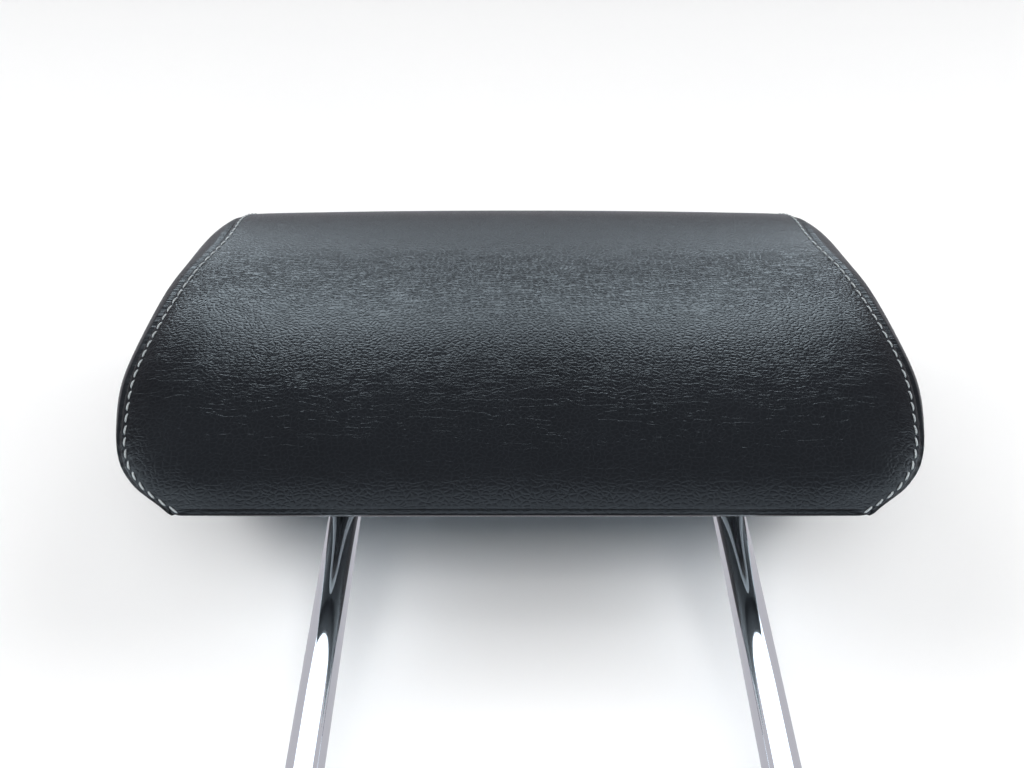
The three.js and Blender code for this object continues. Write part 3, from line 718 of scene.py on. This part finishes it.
def under_grid(share, across):
    """Straight lines from the lip to the back's lower edge, with a roll beside the lip."""
    front = wrap_grid(np.array([0.0]), across)
    back = wrap_grid(np.array([1.0]), across)
    s = share[:, None, None]
    roll = LIP_ROLL * np.maximum(0, np.sin(math.pi * np.minimum(1, s / LIP_ROLL_SHARE)))
    return front * (1 - s) + back * s + roll * base_out


def rounded(rim):
    """A closed loop with its corners eased: each point is the mean of the points about it."""
    reach = int(len(rim) * SIDE_EASE_REACH)
    weights = np.hanning(2 * reach + 3)[1:-1]
    weights = weights / weights.sum()
    padded = np.concatenate([rim[-reach:], rim, rim[:reach]])
    return np.stack([np.convolve(padded[:, axis], weights, "valid") for axis in range(3)], axis=-1)


def side_grid(rim, ring, side):
    """Rings from the seam to the middle, bulging out to the pad's full half width.

    The rings start as the seam's own loop and lose its corners on the way in.
    """
    middle = np.array(SIDE_CENTRE) * [PAD_BACK, PAD_HEIGHT]
    r = ring[:, None]
    ease = np.clip(r / SIDE_EASE_RING, 0, 1)[..., None]
    ease = ease * ease * (3 - 2 * ease)
    loop = rim[None] * (1 - ease) + rounded(rim)[None] * ease
    y = loop[..., 1] * (1 - r) + middle[0] * r
    z = loop[..., 2] * (1 - r) + middle[1] * r
    lift = np.clip((loop[..., 2] - SIDE_FULL_FROM) / SIDE_FULL_SPAN, 0, 1)
    full = 1 + (SIDE_FULLNESS - 1) * lift ** 2 * (3 - 2 * lift)
    steep, soft = (1 - (1 - r) ** (power * full) for power in SIDE_POWERS)
    rise = np.sqrt(steep * soft)
    low = np.maximum(0, 1 - z / (TAPER_HEIGHT_SHARE * PAD_HEIGHT))
    reach = PAD_WIDTH / 2 - LOWER_TAPER * low ** 2 * (1 - r)
    seam_reach = np.abs(rim[None, :, 0] - PAD_SIDE_SHIFT)
    x = PAD_SIDE_SHIFT + side * (seam_reach + (reach - seam_reach) * rise)
    return np.stack([x, y, z], axis=-1)


def skin_grids(counts):
    """The five panels' grids at one fineness, sharing their seam points."""
    front_along = TOP_SEAM * crowded(counts["front"], ROW_EDGE_SHARE)
    back_along = TOP_SEAM + (1 - TOP_SEAM) * crowded(counts["back"], ROW_EDGE_SHARE)
    across = 2 * crowded(counts["across"], COLUMN_EDGE_SHARE) - 1
    share = crowded(counts["under"], ROW_EDGE_SHARE)
    ring = np.linspace(0, 1, counts["rings"]) ** RING_CROWDING
    grids = {
        "front": wrap_grid(front_along, across),
        "back": wrap_grid(back_along, across),
        "under": under_grid(share, across),
    }
    for name, column, side in [("left", 0, -1), ("right", -1, 1)]:
        grids[name] = side_grid(rim_of(grids, column), ring, side)
    values = {"front": front_along, "back": back_along, "across": across, "under": share}
    return grids, values


def rim_of(grids, column):
    """A side seam's closed loop: up the front, over the top, down the back, along the underside."""
    return np.concatenate([
        grids["front"][:, column],
        grids["back"][1:, column],
        grids["under"][-2:0:-1, column],
    ])


def rim_places():
    """Where the fine loop's points lie on the coarse loop, from 0 to 1."""
    pieces = []
    start = 0
    for name, first in [("front", 0), ("back", 1), ("under", 1)]:
        places = np.linspace(0, COARSE[name] - 1, FINE[name])[first:]
        pieces.append(start + places)
        start += COARSE[name] - 1
    return np.concatenate(pieces)[:-1] / start


def swell():
    """How far air pressure moves the pad's coarse skin, whose seams are held."""
    grids, _ = skin_grids(COARSE)
    points, faces, moves = [], [], []
    for name, grid in grids.items():
        side = name in SIDE_PANELS
        inner = np.ones(grid.shape[:2])
        inner[0] = 0
        if not side:
            inner[-1] = 0
            inner[:, [0, -1]] = 0
        start = sum(len(block) for block in points)
        panel = grid_faces(*grid.shape[:2], loop_columns=side)
        if name in TURNED_PANELS:
            panel = [face[::-1] for face in panel]
        faces += [[start + corner for corner in face] for face in panel]
        sunk = grid - SWELL_START * inner[..., None] * outward_normals(grid, name)
        points.append(sunk.reshape(-1, 3))
        moves.append(inner.ravel())
    swollen = inflated(np.concatenate(points), faces, np.concatenate(moves))
    shifts = {}
    start = 0
    for name, grid in grids.items():
        size = grid.shape[0] * grid.shape[1]
        side = name in SIDE_PANELS
        outwards = outward_normals(grid, name)
        shift = swollen[start:start + size].reshape(grid.shape) - grid
        amount = np.clip(np.sum(shift * outwards, axis=-1), 0, SWELL_CAP)
        for _ in range(SWELL_SMOOTHING):
            amount = evened(amount, side)
        shifts[name] = (amount * rim_fade(grid.shape[:2], side))[..., None] * outwards
        start += size
    return shifts


def inflated(loose, faces, free):
    """Where the cloth solver takes loose points whose panels are joined, some of them held."""
    _, first, merged = np.unique(np.round(loose, 5), axis=0, return_index=True, return_inverse=True)
    merged = merged.ravel()
    whole = [list(dict.fromkeys(merged[corner] for corner in face)) for face in faces]
    mesh = bpy.data.meshes.new("swelling")
    mesh.from_pydata(loose[first].tolist(), [], [face for face in whole if len(face) > 2])
    bag = bpy.data.objects.new("swelling", mesh)
    scene.collection.objects.link(bag)
    held = bag.vertex_groups.new(name="held")
    held.add(np.nonzero(free[first] == 0)[0].tolist(), 1.0, "REPLACE")
    cloth = bag.modifiers.new("cloth", "CLOTH")
    cloth.settings.vertex_group_mass = "held"
    cloth.settings.quality = 6
    cloth.settings.mass = 0.3
    cloth.settings.tension_stiffness = 30
    cloth.settings.compression_stiffness = 30
    cloth.settings.bending_stiffness = 4
    cloth.settings.use_pressure = True
    cloth.settings.uniform_pressure_force = SWELL_PRESSURE
    cloth.settings.effector_weights.gravity = 0
    cloth.point_cache.frame_start = 1
    cloth.point_cache.frame_end = SWELL_FRAMES
    for number in range(1, SWELL_FRAMES + 1):
        scene.frame_set(number)
    result = bag.evaluated_get(bpy.context.evaluated_depsgraph_get()).data
    swollen = np.empty(len(result.vertices) * 3, dtype=np.float32)
    result.vertices.foreach_get("co", swollen)
    bpy.data.objects.remove(bag)
    scene.frame_set(1)
    return swollen.reshape(-1, 3)[merged]


def evened(amount, loop):
    """Each value of a field becomes the mean of itself and its four neighbours."""
    padded = np.pad(amount, 1, mode="edge")
    if loop:
        padded[:, 0] = padded[:, -2]
        padded[:, -1] = padded[:, 1]
    beside = padded[1:-1, :-2] + padded[1:-1, 2:]
    return (amount + padded[:-2, 1:-1] + padded[2:, 1:-1] + beside) / 5


def rim_fade(counts, side):
    """Rises from 0 at a panel's seams to 1 within a quarter of its rows and columns."""
    rows = np.minimum(1, np.linspace(0, 1, counts[0]) / SWELL_FADE_SHARE)
    if side:
        fade = np.broadcast_to(rows[:, None], counts)
    else:
        columns = np.minimum(1, np.linspace(0, 1, counts[1]) / SWELL_FADE_SHARE)
        fade = np.minimum(rows, rows[::-1])[:, None] * np.minimum(columns, columns[::-1])[None, :]
    return fade * fade * (3 - 2 * fade)


def finer(field, row_places, column_places):
    """A coarse grid's field, read smoothly at finer rows and columns."""
    rows = catmull_rom(field, row_places)[0]
    return catmull_rom(rows.swapaxes(0, 1), column_places)[0].swapaxes(0, 1)


def valley(distance, width=SEAM_FLANK):
    """A bell curve: 1 at no distance, and almost nothing two widths away."""
    return np.exp(-(distance / width) ** 2)


def finished_skin():
    """The fine panels with the swelling, the seams' creases and the topstitch's groove."""
    grids, values = skin_grids(FINE)
    shifts = swell()
    even = {name: np.linspace(0, 1, count) for name, count in FINE.items()}
    for name in ("front", "back", "under"):
        grids[name] = grids[name] + finer(shifts[name], even[name], even["across"])
    for name in SIDE_PANELS:
        loop = np.concatenate([shifts[name], shifts[name][:, :1]], axis=1)
        grids[name] = grids[name] + finer(loop, even["rings"], rim_places())

    wrap = np.concatenate([grids["front"], grids["back"][1:]])
    along = np.concatenate([values["front"], values["back"][1:]])
    outwards = grid_normals(wrap)
    inward_edge = (1 - np.abs(values["across"]))[None, :] * half_width(along)[:, None]
    edge_run = np.concatenate([[0], np.cumsum(np.linalg.norm(np.diff(wrap[:, 0], axis=0), axis=1))])
    phase = 2 * math.pi * edge_run[:, None] / STITCH_PITCH
    ripple = PUCKER_HEIGHT * np.cos(phase) * np.exp(-inward_edge / PUCKER_REACH)
    groove = GROOVE_DEPTH * (GROOVE_EVEN_SHARE + (1 - GROOVE_EVEN_SHARE) * np.cos(phase))
    groove = groove * valley(inward_edge - STITCH_INSET, GROOVE_HALF_WIDTH)
    top_crease = SEAM_DIVE * valley((along - TOP_SEAM)[:, None] * profile_length)
    side_crease = SEAM_DIVE * valley(inward_edge)
    drop = np.maximum(side_crease, top_crease) + groove + ripple
    moved = wrap - drop[..., None] * outwards
    under_out = outward_normals(grids["under"], "under")
    corner_fade = 1 - valley(inward_edge[0], CORNER_REACH)
    for row, under_row, distance in [(0, 0, along), (-1, -1, 1 - along)]:
        inwards = -unit(outwards[row] + under_out[under_row])
        near = valley(distance * profile_length)[:, None] * corner_fade[None, :]
        rise = LIP_SEAM_RISE * unit(wrap[1] - wrap[0]) if row == 0 else 0
        moved = moved + near[..., None] * (SEAM_DIVE * inwards + rise)[None]
    count = FINE["front"]
    shaped = {"front": moved[:count], "back": moved[count - 1:]}

    under = grids["under"]
    share = values["under"]
    length = np.hypot(*base_rise)
    from_front = valley(share * length)[:, None, None]
    from_back = valley((1 - share) * length)[:, None, None]
    from_side = valley((1 - np.abs(values["across"])) * half_width(np.array([0.0])))[None, :, None]
    settled = under + from_front * (moved[0] - wrap[0]) + from_back * (moved[-1] - wrap[-1])
    free = (1 - from_front) * (1 - from_back)
    shaped["under"] = settled - SEAM_DIVE * from_side * free * under_out

    for name, column in [("left", 0), ("right", -1)]:
        panel = grids[name]
        shift = rim_of(shaped, column) - panel[0]
        steps = np.linalg.norm(np.diff(panel, axis=0), axis=-1)
        distance = np.concatenate([np.zeros((1, panel.shape[1])), np.cumsum(steps, axis=0)])
        shaped[name] = panel + valley(distance)[..., None] * shift
    return shaped, values


def skin_maps(shaped, values):
    """Flat coordinates of each panel's leather in metres, set apart so that no pattern repeats."""
    across = values["across"]
    maps = {}
    for name in ("front", "back"):
        run = values[name] * profile_length
        x = across[None, :] * half_width(values[name])[:, None]
        maps[name] = np.stack([x, np.broadcast_to(run[:, None], x.shape)], axis=-1)
    under = shaped["under"]
    run = values["under"][:, None] * np.hypot(*base_rise) - 0.5
    maps["under"] = np.stack([under[..., 0], np.broadcast_to(run, under.shape[:2])], axis=-1)
    for name, shift in [("left", 1.0), ("right", 2.0)]:
        panel = shaped[name]
        maps[name] = np.stack([panel[..., 1] + shift, panel[..., 2]], axis=-1)
    return maps


def wall(piece, thickness):
    """Gives a panel its thickness, inwards."""
    solid = piece.modifiers.new("thickness", "SOLIDIFY")
    solid.thickness = thickness
    solid.offset = -1
    solid.use_even_offset = False


def settle(piece):
    """Takes the piece's modifiers into its mesh."""
    graph = bpy.context.evaluated_depsgraph_get()
    mesh = bpy.data.meshes.new_from_object(piece.evaluated_get(graph))
    piece.modifiers.clear()
    piece.data = mesh


def finish_piece(piece, material, body, slot, *nodes):
    piece.data.materials.clear()
    piece.data.materials.append(material)
    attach(piece, body)
    if nodes:
        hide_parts(*nodes)


# Bezels and the slots in the underside

def slot_sizes():
    """Half width, front and back of the slot, from the bezels' own box."""
    low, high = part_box("post_bezel_right")
    lap = BEZEL_COLLAR_WALL + BEZEL_FLANGE_LAP
    return (high[0] - low[0]) / 2 - lap, low[1] + lap, high[1] - lap


def stadium(half, front, back, count):
    """A closed outline with round ends: two half circles joined by straight sides."""
    turn = np.linspace(0, math.pi, count)
    x = np.concatenate([half * np.cos(turn), -half * np.cos(turn)])
    y = np.concatenate([back - half + half * np.sin(turn), front + half - half * np.sin(turn)])
    return np.stack([x, y], axis=-1)


def slot_row(outline, height, side):
    """An outline round one post's slot, at a height above the pad's sloping underside."""
    x = outline[:, 0] + side * POST_SPACING / 2
    return np.stack([x, outline[:, 1], base_height(outline[:, 1]) + height], axis=-1)


def bezel_grid(side):
    """A collar and flange: one profile of margins and heights carried round the slot."""
    half, front, back = slot_sizes()
    low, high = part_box("post_bezel_right")
    secant = math.hypot(1, base_slope)
    flange_low = -(BEZEL_PLAY + BEZEL_FLANGE_THICKNESS) * secant
    flange_top = -BEZEL_PLAY * secant
    collar_top = high[2] - base_height(back + BEZEL_COLLAR_WALL)
    lap = BEZEL_COLLAR_WALL + BEZEL_FLANGE_LAP
    edge = BEZEL_EDGE
    profile = [
        (0.0, collar_top - edge), (edge / 2, collar_top), (BEZEL_COLLAR_WALL - edge / 2, collar_top),
        (BEZEL_COLLAR_WALL, collar_top - edge), (BEZEL_COLLAR_WALL, flange_top),
        (lap - edge, flange_top), (lap, flange_top - edge / 2), (lap, flange_low + 2 * edge),
        (lap - edge / 2, flange_low + edge), (lap - 2 * edge, flange_low),
        (2 * edge, flange_low), (edge / 2, flange_low + edge / 2), (0.0, flange_low + 2 * edge),
    ]
    rows = []
    for margin, height in profile:
        outline = stadium(half + margin, front - margin, back + margin, BEZEL_END_POINTS)
        rows.append(slot_row(outline, height, side))
    return np.array(rows)


def cut_slots(panel):
    """Cuts the two bezel slots out of the underside panel."""
    half, front, back = slot_sizes()
    margin = BEZEL_COLLAR_WALL + BEZEL_PLAY
    for side in (-1, 1):
        outline = stadium(half + margin, front - margin, back + margin, SLOT_END_POINTS)
        low, high = (slot_row(outline, height, side) for height in SLOT_CUT)
        loops = np.array([
            np.broadcast_to(low.mean(axis=0), low.shape), low,
            high, np.broadcast_to(high.mean(axis=0), high.shape),
        ])
        cutter = add_mesh("cutter", loops, loop_columns=True)
        cutter.data.validate()
        cut = panel.modifiers.new("slot", "BOOLEAN")
        cut.operation = "DIFFERENCE"
        cut.object = cutter
        settle(panel)
        bpy.data.objects.remove(cutter)


# Posts

def post_path():
    """The tube's middle line: up the left leg, round the bend, across, and down the right leg.

    Gives each station's x and z, and the angle at which the line leaves it.
    """
    inner = POST_SPACING / 2 - POST_BEND_RADIUS
    bend_z = CROSSBAR_HEIGHT - POST_BEND_RADIUS
    leg = [np.linspace(POST_TIP, NOTCH_HEIGHTS[-1] - NOTCH_GAP_BELOW, 4)]
    for height in NOTCH_HEIGHTS[::-1]:
        low, high = height - NOTCH_HALF_HEIGHT, height + NOTCH_HALF_HEIGHT
        leg.append(np.array([low - NOTCH_SHOULDER, low, high, high + NOTCH_SHOULDER]))
    leg.append(np.linspace(NOTCH_HEIGHTS[0] + NOTCH_GAP_ABOVE, bend_z, 8))
    leg_z = np.concatenate(leg)
    leg_x = np.full(len(leg_z), -POST_SPACING / 2)
    turn = np.linspace(0, math.pi / 2, 17)[1:]
    bend_x = -inner - POST_BEND_RADIUS * np.cos(turn)
    bar_x = np.linspace(-inner, 0, 6)[1:]
    bar_z = np.full(len(bar_x), CROSSBAR_HEIGHT)
    half_x = np.concatenate([leg_x, bend_x, bar_x])
    half_z = np.concatenate([leg_z, bend_z + POST_BEND_RADIUS * np.sin(turn), bar_z])
    upright = np.full(len(leg_z), math.pi / 2)
    heading = np.concatenate([upright, math.pi / 2 - turn, np.zeros(len(bar_x))])
    x = np.concatenate([half_x, -half_x[-2::-1]])
    z = np.concatenate([half_z, half_z[-2::-1]])
    angle = np.concatenate([heading, -heading[-2::-1]])
    return x, z, angle


def post_grid():
    """A ring carried along the tube's path, out along the outside and back along the bore."""
    x, z, angle = post_path()
    around = np.linspace(0, 2 * math.pi, POST_SIDES, endpoint=False)[None, :]
    outer = np.full((len(x), POST_SIDES), POST_RADIUS)
    inner = np.full((len(x), POST_SIDES), POST_RADIUS - POST_WALL)
    lift = np.sin(around)
    notched = np.zeros(len(x), dtype=bool)
    for height in NOTCH_HEIGHTS:
        notched |= (np.abs(z - height) < NOTCH_HALF_HEIGHT + 1e-6) & (x < 0)
    floor = (POST_RADIUS - NOTCH_DEPTH) / np.maximum(lift, 1e-3)
    outer = np.where(notched[:, None] & (lift > 0), np.minimum(outer, floor), outer)

    def ring(place_x, place_z, heading, radius):
        ring_x = place_x[:, None] + radius * lift * np.sin(heading)[:, None]
        ring_z = place_z[:, None] - radius * lift * np.cos(heading)[:, None]
        return np.stack([ring_x, radius * np.cos(around), ring_z], axis=-1)

    body = ring(x, z, angle, outer)
    bore = ring(x, z, angle, inner)[::-1]
    ends = [slice(0, 1), slice(-1, None)]
    tips = [ring(x[end], z[end], angle[end], outer[end] - POST_TIP_CHAMFER) for end in ends]
    shoulders = [ring(x[end], z[end] + POST_TIP_CHAMFER, angle[end], outer[end]) for end in ends]
    return np.concatenate([tips[0], shoulders[0], body[1:-1], shoulders[1], tips[1], bore])


# Stitches

def topstitch_line(shaped, values, side):
    """A line on the skin a stitch inset away from a side seam, and the skin's normals there."""
    wrap = np.concatenate([shaped["front"], shaped["back"][1:]])
    along = np.concatenate([values["front"], values["back"][1:]])
    outwards = grid_normals(wrap)
    spot = side * (1 - STITCH_INSET / half_width(along))
    column = np.interp(spot, values["across"], np.arange(FINE["across"]))
    low = np.floor(column).astype(int)
    part = (column - low)[:, None]
    rows = np.arange(len(along))
    line = wrap[rows, low] * (1 - part) + wrap[rows, low + 1] * part
    return line, outwards[rows, low] * (1 - part) + outwards[rows, low + 1] * part


def stitch_places(line, normals):
    """Splits a line into stitches: middles, directions and normals, a pitch apart."""
    steps = np.linalg.norm(np.diff(line, axis=0), axis=1)
    run = np.concatenate([[0], np.cumsum(steps)])
    spots = np.arange(STITCH_PITCH / 2, run[-1] - STITCH_PITCH / 2, STITCH_PITCH)

    def read(field, at):
        return np.stack([np.interp(at, run, field[:, axis]) for axis in range(3)], axis=-1)

    step = STITCH_LENGTH / 4
    forward = unit(read(line, spots + step) - read(line, spots - step))
    upward = read(normals, spots)
    upward = unit(upward - forward * np.sum(upward * forward, axis=-1, keepdims=True))
    return read(line, spots), forward, upward


def thread_grid(middle, forward, upward, turn):
    """Stitches as short bent capsules, slanted on the line; all in one array."""
    sideways = np.cross(upward, forward)
    forward = forward * math.cos(turn) + sideways * math.sin(turn)
    sideways = np.cross(upward, forward)
    t = np.linspace(-1, 1, THREAD_RINGS)[None, :, None, None]
    around = np.linspace(0, 2 * math.pi, THREAD_SIDES, endpoint=False)[None, None, :, None]
    radius = THREAD_RADIUS * np.sqrt(np.maximum(1 - np.abs(t) ** THREAD_END_POWER, 0))
    arch = THREAD_RADIUS * (THREAD_ARCH_HEIGHT - THREAD_ARCH_DROP * t ** 2)
    place = middle[:, None, None] + forward[:, None, None] * t * STITCH_LENGTH / 2
    place = place + upward[:, None, None] * arch
    ring = sideways[:, None, None] * np.cos(around) + upward[:, None, None] * np.sin(around)
    return place + radius * ring


def add_stitches(name, grid, material):
    """One mesh of all of a seam's stitches."""
    count, rows, columns = grid.shape[:3]
    faces = np.array(grid_faces(rows, columns, loop_columns=True))
    offsets = (np.arange(count) * rows * columns)[:, None, None]
    all_faces = (faces[None] + offsets).reshape(-1, 4)
    mesh = bpy.data.meshes.new(name)
    mesh.from_pydata(grid.reshape(-1, 3).tolist(), [], all_faces.tolist())
    mesh.shade_smooth()
    u, v = np.meshgrid(np.arange(columns) / columns, np.arange(rows) / (rows - 1))
    map_skin(mesh, np.tile(np.stack([u, v], axis=-1).reshape(-1, 2), (count, 1)))
    piece = bpy.data.objects.new(name, mesh)
    scene.collection.objects.link(piece)
    merge_points(piece)
    finish_piece(piece, material, "pad", "thread")


def merge_points(piece):
    """Joins points that coincide and turns the faces outwards."""
    work = bmesh.new()
    work.from_mesh(piece.data)
    bmesh.ops.remove_doubles(work, verts=work.verts, dist=1e-6)
    bmesh.ops.recalc_face_normals(work, faces=work.faces)
    work.to_mesh(piece.data)
    work.free()


# Assembly

add_camera()
set_world()
add_floor()
add_lamps()

leather = leather_material()
thread = thread_material()
chrome = chrome_material()
trim = moulded_material("trim_plastic", (0.022, 0.022, 0.024), (0.032, 0.032, 0.034), 0.0004, 0.45)
carrier = moulded_material("carrier_plastic", (0.05, 0.05, 0.054), (0.07, 0.07, 0.075), 0.0006, 0.5)
steel = steel_material()
foam = foam_material()

shaped, values = finished_skin()
maps = skin_maps(shaped, values)
panels = {
    "front": ("leather_front", "cover_front"),
    "back": ("leather_back", "cover_back"),
    "under": ("leather_underside", "cover_bottom"),
    "left": ("leather_side_left", "cover_side_left"),
    "right": ("leather_side_right", "cover_side_right"),
}
for key, (name, node) in panels.items():
    side = key in SIDE_PANELS
    flip = key in TURNED_PANELS
    piece = add_mesh(name, shaped[key], loop_columns=side, pole=side, flip=flip, skin=maps[key])
    wall(piece, COVER_THICKNESS)
    settle(piece)
    if key == "under":
        cut_slots(piece)
    finish_piece(piece, leather, "pad", "leather", node)

for name, side in [("left", -1), ("right", 1)]:
    line, normals = topstitch_line(shaped, values, side)
    grid = thread_grid(*stitch_places(line, normals), side * STITCH_SLANT)
    add_stitches(f"topstitch_{name}", grid, thread)

posts = add_mesh("chrome_posts", post_grid(), loop_rows=True, loop_columns=True)
merge_points(posts)
posts.data.shade_smooth()
finish_piece(posts, chrome, "posts", "chrome", "post_frame")

for name, side in [("left", -1), ("right", 1)]:
    bezel = add_mesh(f"bezel_{name}", bezel_grid(side), loop_rows=True, loop_columns=True)
    merge_points(bezel)
    finish_piece(bezel, trim, "pad", "trim_plastic", f"post_bezel_{name}")

# Pieces that keep their solid's form
slot_materials = {"carrier_plastic": carrier, "steel": steel, "foam": foam, "trim_plastic": trim}
for part in frame["record"]["subparts"]:
    if part["material_slot"] in slot_materials:
        node = bpy.data.objects[part["node"]]
        node.data.materials.clear()
        node.data.materials.append(slot_materials[part["material_slot"]])
